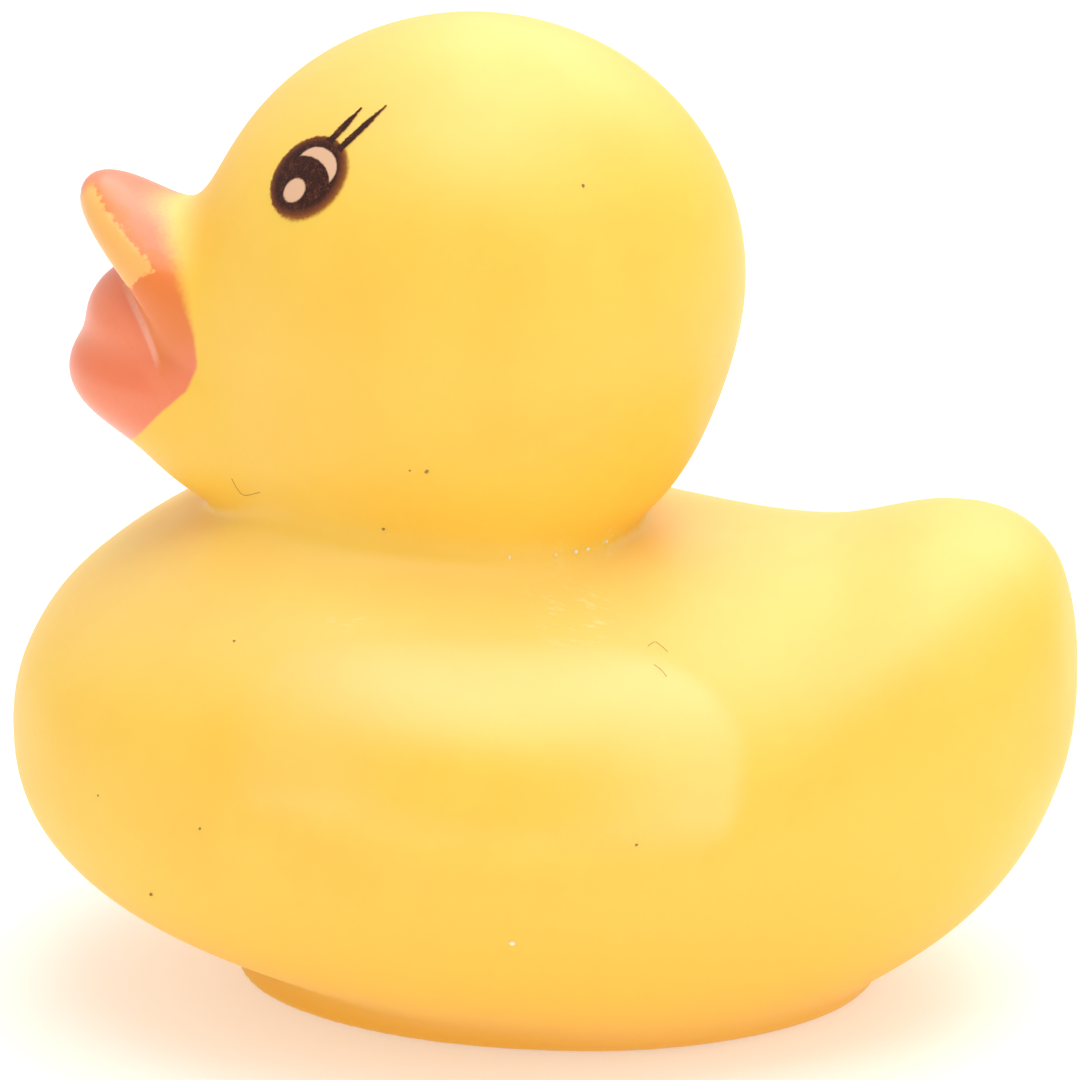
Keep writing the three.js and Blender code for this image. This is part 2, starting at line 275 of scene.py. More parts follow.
def surface(form, lines):
    """One corner in each grid cell that the surface passes through, and a quad round each crossed edge."""
    xs, ys, zs = lines
    values = np.empty((len(xs), len(ys), len(zs)))
    across, up = np.meshgrid(ys, zs, indexing="ij")
    for i, x in enumerate(xs):
        values[i] = form(np.full_like(across, x), across, up)
    inside = values < 0
    corners = [(a, b, c) for a in (0, 1) for b in (0, 1) for c in (0, 1)]
    nx, ny, nz = (len(line) - 1 for line in lines)
    filled = sum(inside[a:nx + a, b:ny + b, c:nz + c].astype(int) for a, b, c in corners)
    crossed = (filled > 0) & (filled < 8)
    number = np.full(crossed.shape, -1)
    number[crossed] = np.arange(crossed.sum())
    cell = np.nonzero(crossed)
    place, hits = np.zeros((len(cell[0]), 3)), np.zeros(len(cell[0]))
    for i, a in enumerate(corners):
        for b in corners[i + 1:]:
            if sum(abs(p - q) for p, q in zip(a, b)) != 1:
                continue
            va = values[tuple(c + o for c, o in zip(cell, a))]
            vb = values[tuple(c + o for c, o in zip(cell, b))]
            hit = (va < 0) != (vb < 0)
            t = np.where(hit, va / np.where(hit, va - vb, 1), 0)
            for axis in range(3):
                place[:, axis] += np.where(hit, a[axis] + t * (b[axis] - a[axis]), 0)
            hits += hit
    place /= hits[:, None]
    points = np.stack([
        line[index] + place[:, axis] * (line[index + 1] - line[index])
        for axis, (line, index) in enumerate(zip(lines, cell))], axis=1)
    quads = []
    for axis in range(3):
        low = [slice(1, -1)] * 3
        high = [slice(1, -1)] * 3
        low[axis], high[axis] = slice(None, -1), slice(1, None)
        start, end = inside[tuple(low)], inside[tuple(high)]
        at = list(np.nonzero(start != end))
        outward = start[tuple(at)]
        for other in range(3):
            if other != axis:
                at[other] = at[other] + 1
        b, c = (axis + 1) % 3, (axis + 2) % 3
        ring = []
        for db, dc in ((1, 1), (0, 1), (0, 0), (1, 0)):
            spot = list(at)
            spot[b] = spot[b] - db
            spot[c] = spot[c] - dc
            ring.append(number[tuple(spot)])
        faces = np.stack(ring, axis=1)
        faces[~outward] = faces[~outward][:, ::-1]
        quads.append(faces)
    return onto_surface(form, points), np.concatenate(quads)


def new_mesh(name, points, faces, edges=()):
    """A mesh object from points in millimetres."""
    mesh = bpy.data.meshes.new(name)
    mesh.from_pydata((np.asarray(points) * MM).tolist(), list(edges), [list(map(int, f)) for f in faces])
    mesh.shade_smooth()
    mesh.update()
    piece = bpy.data.objects.new(name, mesh)
    bpy.context.scene.collection.objects.link(piece)
    return piece


def add_values(piece, name, values):
    layer = piece.data.attributes.new(name, "FLOAT", "POINT")
    layer.data.foreach_set("value", np.asarray(values, dtype=np.float32))


# ------------------------------------------------------------------ paint and wear on the skin

# Rear edge of the bill's paint: height, and how far back it reaches there.
PAINT_EDGE = np.array([
    (26.0, -24.2),
    (29.45, -20.85),
    (31.7, -18.95),
    (33.1, -17.45),
    (34.4, -16.9),
    (36.1, -17.05),
    (38.1, -17.6),
    (39.4, -18.15),
    (40.7, -18.95),
    (41.2, -19.6),
    (42.0, -20.4),
    (44.0, -22.0),
])
PAINT_BLUR = {"crisp": 0.12, "soft": 0.75, "from": 35.0, "to": 40.5}
BREAST_TOP = 27.0
# Painted light on the skin: a paler colour where it faces up and on the wing pads' raised shoulder.
PAINTED_TOP_LIGHT = {
    "facing": (0.4, 0.98), "weight": 0.38,
    "pad_edge": (-0.25, 0.3), "pad_fade": (0.3, 4.2), "pad_weight": 0.38,
}

# Places where the skin is rubbed pale: centre, radius and strength.
SCUFF_CORE = 0.35
SCUFFS = (
    ((8.6, 0.4, 25.5), 2.0, 0.35),
    ((6.2, 3.2, 25.6), 1.6, 0.35),
    ((12.2, 2.6, 23.7), 3.6, 0.35),
    ((15.7, -8.5, 24.2), 1.3, 0.4),
)


def paint_depth(points):
    """How far inside the painted bill a place lies, in widths of the paint's blurred edge."""
    _, y, z = points.T
    back = np.interp(z, PAINT_EDGE[:, 0], PAINT_EDGE[:, 1])
    inside = np.minimum(back - y, z - BREAST_TOP)
    towards_top = smoothstep(z, PAINT_BLUR["from"], PAINT_BLUR["to"])
    blur = PAINT_BLUR["crisp"] + (PAINT_BLUR["soft"] - PAINT_BLUR["crisp"]) * towards_top
    return inside / blur


def painted_top_light_weight(points):
    """Painted light: a paler colour on skin that faces up, heavier on the raised shoulder of the wing pads,
    standing in for the light those places catch.
    """
    slope = gradient(duck, points)
    facing = smoothstep(slope[:, 2] / np.linalg.norm(slope, axis=1), *PAINTED_TOP_LIGHT["facing"])
    inside, soft = wing_place(points[:, 1], points[:, 2])
    shoulder = smoothstep(inside, *PAINTED_TOP_LIGHT["pad_edge"]) * (1 - smoothstep(inside, *PAINTED_TOP_LIGHT["pad_fade"]))
    return PAINTED_TOP_LIGHT["weight"] * facing + PAINTED_TOP_LIGHT["pad_weight"] * shoulder * (1 - soft) ** 2


def scuff_weight(points):
    weight = np.zeros(len(points))
    for centre, radius, strength in SCUFFS:
        away = np.linalg.norm(points - centre, axis=1) / radius
        weight = np.maximum(weight, strength * (1 - smoothstep(away, SCUFF_CORE, 1.0)))
    return weight


# ------------------------------------------------------------------ eye print, in millimetres

# The print is laid out flat, seen square on from the stamp's side, with its origin at the iris.
STAMP_AZIMUTH, STAMP_ELEVATION = math.radians(95), math.radians(17.5)
EYE_CENTRE = (9.33, -10.88, 44.83)
IRIS = {"radii": (2.28, 1.70), "tilt": 52.0}
CATCHLIGHT = {"centre": (-0.70, -0.62), "radii": (0.64, 0.49), "tilt": 55.0}
LID_OUTER = {"centre": (0.38, 0.50), "radius": 1.02}
LID_INNER = {"centre": (-0.34, -0.26), "radius": 1.39}
LASHES = (((1.02, 1.78), (2.58, 3.46)), ((1.52, 1.36), (3.82, 3.56)))
LASH_HALF_WIDTH = 0.16
LASH_TIP = 0.2
FILM = {"margin": 0.3, "grid": 0.14, "lift": 0.025, "sink": 0.05}
PRINT_RIGHT, PRINT_UP = (-3.0, 4.8), (-3.0, 4.6)
PRINT_SPAN = 10.0
# The flat print starts this far in front of the skin, and is pressed on in steps.
PRESS = {"start": 4.0, "steps": 60, "share": 0.8}


def iris_reach(u, v):
    """Distance outside the iris, in millimetres."""
    tilt = math.radians(IRIS["tilt"])
    a, b = u * math.cos(tilt) + v * math.sin(tilt), v * math.cos(tilt) - u * math.sin(tilt)
    return (np.hypot(a / IRIS["radii"][0], b / IRIS["radii"][1]) - 1) * IRIS["radii"][1]


def lash_reach(u, v, lash):
    """Distance outside a tapered stroke, in millimetres."""
    (u0, v0), (u1, v1) = lash
    du, dv = u1 - u0, v1 - v0
    t = np.clip(((u - u0) * du + (v - v0) * dv) / (du * du + dv * dv), 0, 1)
    away = np.hypot(u - u0 - t * du, v - v0 - t * dv)
    return away - LASH_HALF_WIDTH * (1 - (1 - LASH_TIP) * t * t)


def print_reach(u, v):
    return np.minimum.reduce([iris_reach(u, v), *(lash_reach(u, v, lash) for lash in LASHES)])


def stamp_axes():
    """Right, up and towards the stamp, seen from the stamp's side."""
    a, e = STAMP_AZIMUTH, STAMP_ELEVATION
    back = np.array([math.sin(a) * math.cos(e), -math.cos(a) * math.cos(e), math.sin(e)])
    right = np.cross(-back, (0, 0, 1))
    right /= np.linalg.norm(right)
    return right, np.cross(right, -back), back


def stamped(u, v):
    """Places on the skin straight behind places in the flat print, and the skin's normals there."""
    right, up, back = stamp_axes()
    points = np.array(EYE_CENTRE) + u[:, None] * right + v[:, None] * up + PRESS["start"] * back
    for _ in range(PRESS["steps"]):
        points = points - (duck(*points.T) * PRESS["share"])[:, None] * back
    points = onto_surface(duck, points, passes=2)
    slope = gradient(duck, points)
    return points, slope / np.linalg.norm(slope, axis=1, keepdims=True)


def eye_film():
    """A thin closed film that covers the print: corners, faces and each corner's place in the print."""
    step = FILM["grid"]
    us, vs = np.arange(*PRINT_RIGHT, step), np.arange(*PRINT_UP, step)
    u, v = (axis.ravel() for axis in np.meshgrid(us, vs, indexing="ij"))
    keep = (print_reach(u, v) < FILM["margin"]).reshape(len(us), len(vs))
    cells = keep[:-1, :-1] & keep[1:, :-1] & keep[1:, 1:] & keep[:-1, 1:]
    i, j = np.nonzero(cells)
    corner = lambda di, dj: (i + di) * len(vs) + j + dj
    quads = np.stack([corner(0, 0), corner(1, 0), corner(1, 1), corner(0, 1)], axis=1)
    used, quads = np.unique(quads, return_inverse=True)
    quads = quads.reshape(-1, 4)
    u, v = u[used], v[used]
    skin, normal = stamped(u, v)
    count = len(used)
    edges = {}
    for quad in quads:
        for a, b in zip(quad, np.roll(quad, -1)):
            edges[(int(a), int(b))] = edges.get((int(b), int(a)), 0) + 1
    rim = [(a, b) for (a, b) in edges if (b, a) not in edges]
    points = np.concatenate([skin + normal * FILM["lift"], skin - normal * FILM["sink"]])
    walls = [(b, a, a + count, b + count) for a, b in rim]
    faces = quads.tolist() + (quads[:, ::-1] + count).tolist() + walls
    return points, faces, np.tile(np.stack([u, v], axis=1), (2, 1))


# ------------------------------------------------------------------ dust

# Dark grains and pale crumbs, each as (x, y, z, size); fibres as runs of points.
DARK_GRAINS = np.array([
    (9.81, 2.68, 44.83, 0.10),
    (12.76, -5.6, 30.95, 0.10),
    (12.8, -4.76, 30.94, 0.11),
    (11.17, -7.04, 27.58, 0.10),
    (19.6, -15.39, 14.34, 0.10),
    (16.83, -18.25, 9.78, 0.11),
    (21.1, 6.5, 14.37, 0.10),
    (15.72, -14.13, 22.99, 0.07),
    (15.99, -20.96, 14.62, 0.08),
])
PALE_GRAINS = np.array([
    (9.58, -1.44, 25.42, 0.12),
    (9.06, -0.74, 25.49, 0.15),
    (8.7, -0.1, 25.4, 0.11),
    (8.39, 0.46, 25.52, 0.13),
    (7.71, 1.4, 25.5, 0.16),
    (7.22, 2.12, 25.58, 0.12),
    (6.04, 3.29, 25.61, 0.14),
    (21.32, 0.23, 9.54, 0.14),
])
FIBRES = (
    ((13.11, 6.25, 22.42), (12.67, 6.56, 22.45), (12.86, 6.92, 22.31), (13.13, 7.24, 22.15)),
    ((14.3, 6.68, 22.0), (14.54, 7.05, 21.83), (14.93, 7.37, 21.61)),
    ((7.43, -15.2, 28.69), (7.29, -14.92, 28.13), (7.36, -14.5, 27.85), (8.27, -13.57, 28.31)),
)
FIBRE_RADIUS = 0.018


# ------------------------------------------------------------------ node helpers

def is_socket(value):
    return isinstance(value, bpy.types.NodeSocket)


def add_node(tree, kind, inputs=None, **settings):
    node = tree.nodes.new(kind)
    for key, value in settings.items():
        setattr(node, key, value)
    for key, value in (inputs or {}).items():
        if is_socket(value):
            tree.links.new(value, node.inputs[key])
        else:
            node.inputs[key].default_value = value
    return node


def calc(tree, operation, a, b=None):
    inputs = {0: a} if b is None else {0: a, 1: b}
    return add_node(tree, "ShaderNodeMath", inputs, operation=operation).outputs[0]


def product(tree, *factors):
    result, *others = factors
    for factor in others:
        result = calc(tree, "MULTIPLY", result, factor)
    return result


def plus(tree, a, b):
    return calc(tree, "ADD", a, b)


def minus(tree, a, b):
    return calc(tree, "SUBTRACT", a, b)


def larger(tree, a, b):
    return calc(tree, "MAXIMUM", a, b)


def smaller(tree, a, b):
    return calc(tree, "MINIMUM", a, b)


def away_from(tree, value, middle):
    return calc(tree, "ABSOLUTE", minus(tree, value, middle))


def ramp(tree, value, low, high, out_low=0.0, out_high=1.0):
    """Smoothly maps low..high to out_low..out_high."""
    node = add_node(tree, "ShaderNodeMapRange", {
        "Value": value, "From Min": low, "From Max": high, "To Min": out_low, "To Max": out_high,
    }, interpolation_type="SMOOTHSTEP")
    return node.outputs["Result"]


def blend_colours(tree, amount, a, b):
    node = add_node(tree, "ShaderNodeMix", data_type="RGBA")
    for socket, value in ((node.inputs[0], amount), (node.inputs[6], a), (node.inputs[7], b)):
        if is_socket(value):
            tree.links.new(value, socket)
        else:
            socket.default_value = value
    return node.outputs[2]


def noise(tree, place, scale, detail=2.0, roughness=0.5):
    """Noise from 0 to 1; scale is in cycles a metre."""
    node = add_node(tree, "ShaderNodeTexNoise", {
        "Vector": place, "Scale": scale, "Detail": detail, "Roughness": roughness})
    return node.outputs["Fac"]


def unevenness(tree, place, scale, width, detail=2.0, roughness=0.5):
    """Noise spread evenly about zero over the given width."""
    return product(tree, minus(tree, noise(tree, place, scale, detail, roughness), 0.5), width)


def value_of(tree, name):
    return add_node(tree, "ShaderNodeAttribute", attribute_name=name).outputs["Fac"]


def object_place(tree):
    return add_node(tree, "ShaderNodeTexCoord").outputs["Object"]


def new_material(name, **constants):
    material = bpy.data.materials.new(name)
    material.use_nodes = True
    tree = material.node_tree
    tree.nodes.clear()
    shader = tree.nodes.new("ShaderNodeBsdfPrincipled")
    for key, value in constants.items():
        shader.inputs[key.replace("_", " ")].default_value = value
    output = tree.nodes.new("ShaderNodeOutputMaterial")
    tree.links.new(shader.outputs[0], output.inputs[0])
    return material, tree, shader


def opaque(colour):
    return (*colour, 1.0)


def connect(tree, source, shader, socket):
    tree.links.new(source, shader.inputs[socket])


# ------------------------------------------------------------------ effects shared by materials

def satin_grain_group():
    """Fine moulded grain: a height for bump, an even mottle from 0 to 1, and a fine speckle from 0 to 1."""
    name = "satin_grain"
    if name in bpy.data.node_groups:
        return bpy.data.node_groups[name]
    tree = bpy.data.node_groups.new(name, "ShaderNodeTree")
    for label, kind, default in (
            ("Place", "NodeSocketVector", None),
            ("Grain scale", "NodeSocketFloat", 9000.0),
            ("Mottle scale", "NodeSocketFloat", 160.0)):
        socket = tree.interface.new_socket(label, in_out="INPUT", socket_type=kind)
        if default is not None:
            socket.default_value = default
    for label in ("Height", "Mottle", "Speckle"):
        tree.interface.new_socket(label, in_out="OUTPUT", socket_type="NodeSocketFloat")
    given = tree.nodes.new("NodeGroupInput")
    result = tree.nodes.new("NodeGroupOutput")
    place = given.outputs["Place"]
    fine = noise(tree, place, given.outputs["Grain scale"], detail=2.0, roughness=0.6)
    broad = noise(tree, place, given.outputs["Mottle scale"], detail=3.0, roughness=0.55)
    coarser = product(tree, given.outputs["Grain scale"], 0.45)
    speckle = noise(tree, place, coarser, detail=1.0)
    tree.links.new(fine, result.inputs["Height"])
    tree.links.new(broad, result.inputs["Mottle"])
    tree.links.new(ramp(tree, speckle, 0.58, 0.72), result.inputs["Speckle"])
    return tree


def satin_grain(tree, place, grain=9000.0):
    node = tree.nodes.new("ShaderNodeGroup")
    node.node_tree = satin_grain_group()
    node.inputs["Grain scale"].default_value = grain
    tree.links.new(place, node.inputs["Place"])
    return node.outputs["Height"], node.outputs["Mottle"], node.outputs["Speckle"]


def grained(tree, height, strength, shader):
    node = add_node(tree, "ShaderNodeBump", {
        "Height": height, "Strength": strength, "Distance": GRAIN_DEPTH})
    connect(tree, node.outputs["Normal"], shader, "Normal")


# ------------------------------------------------------------------ settings

class DuckPaintSettings(bpy.types.PropertyGroup):
    vinyl: FloatVectorProperty(
        name="Vinyl", description="Colour of the moulded skin", subtype="COLOR",
        default=(0.97, 0.60, 0.066), min=0, max=1)
    # Used for the random mottle and for the painted shade low down on the skin.
    vinyl_deep_and_shade: FloatVectorProperty(
        name="Deeper vinyl", description="Colour of the skin low down and in its mottling", subtype="COLOR",
        default=(0.955, 0.50, 0.030), min=0, max=1)
    # Colour of the painted light on up-facing skin and on the wing pads' shoulder.
    painted_top_light: FloatVectorProperty(
        name="Bloom", description="Colour of the thin chalky film where the skin faces up", subtype="COLOR",
        default=(0.98, 0.72, 0.27), min=0, max=1)
    rubbed: FloatVectorProperty(
        name="Rubbed vinyl", description="Colour of pale scuffs on the skin", subtype="COLOR",
        default=(0.98, 0.84, 0.45), min=0, max=1)
    bill: FloatVectorProperty(
        name="Bill", description="Colour of the paint on the bill", subtype="COLOR",
        default=(0.89, 0.24, 0.105), min=0, max=1)
    bill_thin: FloatVectorProperty(
        name="Thin bill paint", description="Colour of the bill's paint where little was sprayed",
        subtype="COLOR", default=(0.82, 0.21, 0.028), min=0, max=1)
    worn: FloatVectorProperty(
        name="Worn patch", description="Colour of the bill's rim where the paint is missing",
        subtype="COLOR", default=(0.93, 0.48, 0.12), min=0, max=1)
    # Painted shade: the bill's colour in the mouth's crease, also used for its deeper mottling.
    bill_deep_and_shade: FloatVectorProperty(
        name="Deeper bill paint", description="Colour of the bill's paint in the mouth's crease",
        subtype="COLOR", default=(0.86, 0.19, 0.07), min=0, max=1)
    # Colour of the painted highlight along the rim's edge.
    bill_rim_highlight: FloatVectorProperty(
        name="Bill edge", description="Colour of the paint's pale line along the rim",
        subtype="COLOR", default=(0.95, 0.44, 0.31), min=0, max=1)
    ink: FloatVectorProperty(
        name="Eye ink", description="Darkest colour of the eye print", subtype="COLOR",
        default=(0.036, 0.009, 0.006), min=0, max=1)
    ink_grit: FloatVectorProperty(
        name="Eye ink, grit", description="Colour of the finest specks in the eye print", subtype="COLOR",
        default=(0.30, 0.13, 0.08), min=0, max=1)
    ink_brown: FloatVectorProperty(
        name="Eye ink, brown", description="Colour of the eye print's speckle and rim", subtype="COLOR",
        default=(0.19, 0.052, 0.016), min=0, max=1)
    ink_halo: FloatVectorProperty(
        name="Eye ink, halo", description="Colour of the eye print's thin outer edge", subtype="COLOR",
        default=(0.44, 0.15, 0.02), min=0, max=1)
    lid: FloatVectorProperty(
        name="Eye highlight", description="Colour of the bare crescent and catchlight in the eye print",
        subtype="COLOR", default=(0.76, 0.46, 0.29), min=0, max=1)


class DuckStageSettings(bpy.types.PropertyGroup):
    azimuth: FloatProperty(
        name="Azimuth", description="Camera direction round the duck, 90 degrees is its left side",
        default=math.radians(95), subtype="ANGLE")
    elevation: FloatProperty(
        name="Elevation", description="Camera height above the horizon",
        default=math.radians(17.5), subtype="ANGLE")
    distance: FloatProperty(
        name="Distance", description="Camera to duck", default=0.32, unit="LENGTH")
    lens: FloatProperty(
        name="Lens", description="Focal length in millimetres", default=207.1)
    aim: FloatVectorProperty(
        name="Aim", description="Point in the middle of the view", subtype="XYZ",
        default=(0.0, -0.00028, 0.0235), unit="LENGTH")
    surround: FloatProperty(
        name="Surround", description="Brightness of the even white surround", default=0.73)


# ------------------------------------------------------------------ materials

# Places on the duck are in millimetres, and noise scales in cycles a metre.
GRAIN_DEPTH = 0.04 * MM
# Deeper vinyl: at random in the mottle, and towards the bottom as painted shade.
VINYL_DEPTH_AND_LOW_SHADE = {"mottle": (0.35, 0.7), "mottle_weight": 0.3, "height": (15.0, 2.0)}
SCRATCHES = {"turn": (0.3, 0.5, 0.9), "stretch": (1.0, 0.28, 1.0), "scale": 2600.0, "share": (0.52, 0.66)}
SPRAY = {"scale": 4200.0, "width": 0.7}
VINYL_ROUGHNESS, PAINT_GLOSS = (0.43, 0.50), 0.16

# Wear on the rim's left side. "down" runs down the rim from its top, "behind" back from its face.
WEAR = {
    "side": (0.8, 2.2), "behind": (-0.45, -0.2), "scale": 1700.0, "width": 1.5,
    "patch_down": (0.5, 4.0), "patch_behind": (1.45, 1.75), "patch_end": 4.5, "patch_edge": (-0.1, 0.14),
    "thin_down": (3.2, 5.6), "thin_behind": (2.15, 3.4), "thin_edge": (-0.25, 0.35),
    "thin_end": (10.0, 7.6), "thin_weight": 0.92,
}
# Painted shade: deeper coral in the crease between the tongue and the lower lip.
MOUTH_CREASE_SHADE = {"height": 33.3, "reach": (1.2, 0.2), "behind": (-0.6, -1.6), "weight": 0.7}
# Painted highlight: a pale line along the rim's edge, where it catches the light.
RIM_HIGHLIGHT = {"behind": -0.28, "reach": (0.26, 0.06), "start": (4.2, 5.4), "end": (8.9, 7.9), "weight": 0.7}
SPECKLE_WEIGHT = 0.25


def vinyl_colour(tree, paint, place, mottle):
    """Yellow, deeper in its mottling and, as painted shade, low down; paler where it faces up, as painted
    light; and pale where it is rubbed.
    """
    split = add_node(tree, "ShaderNodeSeparateXYZ", {"Vector": place})
    height = calc(tree, "DIVIDE", split.outputs["Z"], MM)
    deep_tone_and_shade = product(tree, ramp(tree, mottle, *VINYL_DEPTH_AND_LOW_SHADE["mottle"]), VINYL_DEPTH_AND_LOW_SHADE["mottle_weight"])
    # Painted shade: deeper towards the bottom.
    deep_tone_and_shade = larger(tree, deep_tone_and_shade, ramp(tree, height, *VINYL_DEPTH_AND_LOW_SHADE["height"]))
    colour = blend_colours(tree, deep_tone_and_shade, opaque(paint.vinyl), opaque(paint.vinyl_deep_and_shade))
    # Painted light: paler where the skin faces up and on the wing pads' shoulder.
    colour = blend_colours(tree, value_of(tree, "painted_top_light"), colour, opaque(paint.painted_top_light))
    streaks = add_node(tree, "ShaderNodeMapping", {
        "Vector": place, "Rotation": SCRATCHES["turn"], "Scale": SCRATCHES["stretch"]})
    scratch = noise(tree, streaks.outputs[0], SCRATCHES["scale"], detail=3.0, roughness=0.65)
    rub = product(tree, ramp(tree, scratch, *SCRATCHES["share"]), value_of(tree, "scuff"))
    return blend_colours(tree, rub, colour, opaque(paint.rubbed))


def coral_colour(tree, paint, place, mottle, speckle):
    """Coral, with painted shade in the mouth's crease and a painted highlight along the rim; thin on the
    rim, and missing in a ragged patch near the rim's top.
    """
    behind, down = value_of(tree, "behind_rim"), value_of(tree, "down_rim")
    split = add_node(tree, "ShaderNodeSeparateXYZ", {"Vector": place})
    side, height = (calc(tree, "DIVIDE", split.outputs[axis], MM) for axis in "XZ")
    jag = unevenness(tree, place, WEAR["scale"], WEAR["width"], detail=4.0, roughness=0.7)
    on_rim = product(tree, ramp(tree, side, *WEAR["side"]), ramp(tree, behind, *WEAR["behind"]))

    reach = ramp(tree, down, *WEAR["patch_down"], *WEAR["patch_behind"])
    patch = smaller(tree, minus(tree, reach, behind), minus(tree, WEAR["patch_end"], down))
    patch = product(tree, ramp(tree, plus(tree, patch, jag), *WEAR["patch_edge"]), on_rim)
    reach = ramp(tree, down, *WEAR["thin_down"], *WEAR["thin_behind"])
    thin = ramp(tree, minus(tree, reach, minus(tree, behind, jag)), *WEAR["thin_edge"])
    thin = product(tree, thin, on_rim, ramp(tree, down, *WEAR["thin_end"]))

    # Painted shade in the mouth's crease.
    crease_shade = ramp(tree, away_from(tree, height, MOUTH_CREASE_SHADE["height"]), *MOUTH_CREASE_SHADE["reach"])
    crease_shade = product(tree, crease_shade, ramp(tree, behind, *MOUTH_CREASE_SHADE["behind"]))
    deep_tone_and_shade = larger(tree, crease_shade, product(tree, ramp(tree, mottle, 0.45, 0.7), 0.5))
    # Painted highlight along the rim's edge.
    line = ramp(tree, away_from(tree, behind, RIM_HIGHLIGHT["behind"]), *RIM_HIGHLIGHT["reach"])
    line = product(tree, line, ramp(tree, down, *RIM_HIGHLIGHT["start"]), ramp(tree, down, *RIM_HIGHLIGHT["end"]))

    colour = opaque(paint.bill)
    for amount, weight, over in (
            (deep_tone_and_shade, MOUTH_CREASE_SHADE["weight"], paint.bill_deep_and_shade),
            (thin, WEAR["thin_weight"], paint.bill_thin),
            (line, RIM_HIGHLIGHT["weight"], paint.bill_rim_highlight),
            (speckle, SPECKLE_WEIGHT, paint.bill_thin),
            (patch, 1.0, paint.worn)):
        colour = blend_colours(tree, product(tree, amount, weight), colour, opaque(over))
    return colour


def vinyl_material(paint):
    """Soft satin vinyl, with the bill's coral paint over it."""
    material, tree, shader = new_material(
        "yellow_vinyl", Subsurface_Weight=0.3, Subsurface_Radius=(1.0, 0.5, 0.15),
        Subsurface_Scale=0.002, Specular_IOR_Level=0.6)
    place = object_place(tree)
    height, mottle, speckle = satin_grain(tree, place)
    ragged = unevenness(tree, place, SPRAY["scale"], SPRAY["width"], detail=3.0)
    painted = ramp(tree, plus(tree, value_of(tree, "paint"), ragged), -1.0, 1.0)
    vinyl = vinyl_colour(tree, paint, place, mottle)
    coral = coral_colour(tree, paint, place, mottle, speckle)
    connect(tree, blend_colours(tree, painted, vinyl, coral), shader, "Base Color")
    rough = ramp(tree, mottle, 0.2, 0.8, *VINYL_ROUGHNESS)
    connect(tree, minus(tree, rough, product(tree, painted, PAINT_GLOSS)), shader, "Roughness")
    grained(tree, height, 0.10, shader)
    return material


# The ink's edge is sharp at the iris's upper left and soft at its lower right.
INK = {
    "wobble_scale": 5200.0, "wobble": 0.14, "sharp": 0.05, "soft": 0.10,
    "blotch_scale": 3000.0, "blotch_share": (0.48, 0.72), "blotch_weight": 0.55,
    "grit_scale": 15000.0, "grit_share": (0.60, 0.72), "grit_weight": 0.55,
    "rim": (-0.34, 0.08), "halo": (-1.4, 0.6),
}


def spot(tree, u, v, centre, radii, tilt=0.0):
    """Distance outside a tilted oval, in millimetres across it."""
    angle = math.radians(tilt)
    du, dv = minus(tree, u, centre[0]), minus(tree, v, centre[1])
    right, up = math.cos(angle), math.sin(angle)
    along = plus(tree, product(tree, du, right / radii[0]), product(tree, dv, up / radii[0]))
    across = minus(tree, product(tree, dv, right / radii[1]), product(tree, du, up / radii[1]))
    reach = calc(tree, "SQRT", plus(tree, product(tree, along, along), product(tree, across, across)))
    return product(tree, minus(tree, reach, 1.0), radii[1])


def stroke(tree, u, v, lash):
    """Distance outside a lash that narrows towards its tip, in millimetres."""
    (u0, v0), (u1, v1) = lash
    length = math.hypot(u1 - u0, v1 - v0)
    right, up = (u1 - u0) / length, (v1 - v0) / length
    du, dv = minus(tree, u, u0), minus(tree, v, v0)
    along = plus(tree, product(tree, du, right), product(tree, dv, up))
    across = minus(tree, product(tree, dv, right), product(tree, du, up))
    width = ramp(tree, along, length * 0.45, length * 1.05, LASH_HALF_WIDTH, LASH_HALF_WIDTH * LASH_TIP)
    beyond = larger(tree, minus(tree, along, length), product(tree, along, -1.0))
    return larger(tree, minus(tree, calc(tree, "ABSOLUTE", across), width), beyond)


def bare_places(tree, u, v, wobble):
    """The crescent and the catchlight, where no ink lies: 1 inside them and 0 outside."""
    outer = spot(tree, u, v, LID_OUTER["centre"], (LID_OUTER["radius"],) * 2)
    inner = spot(tree, u, v, LID_INNER["centre"], (LID_INNER["radius"],) * 2)
    crescent = larger(tree, outer, product(tree, inner, -1.0))
    light = spot(tree, u, v, CATCHLIGHT["centre"], CATCHLIGHT["radii"], CATCHLIGHT["tilt"])
    bare = plus(tree, smaller(tree, crescent, light), product(tree, wobble, 0.5))
    return ramp(tree, bare, INK["sharp"], -INK["sharp"])


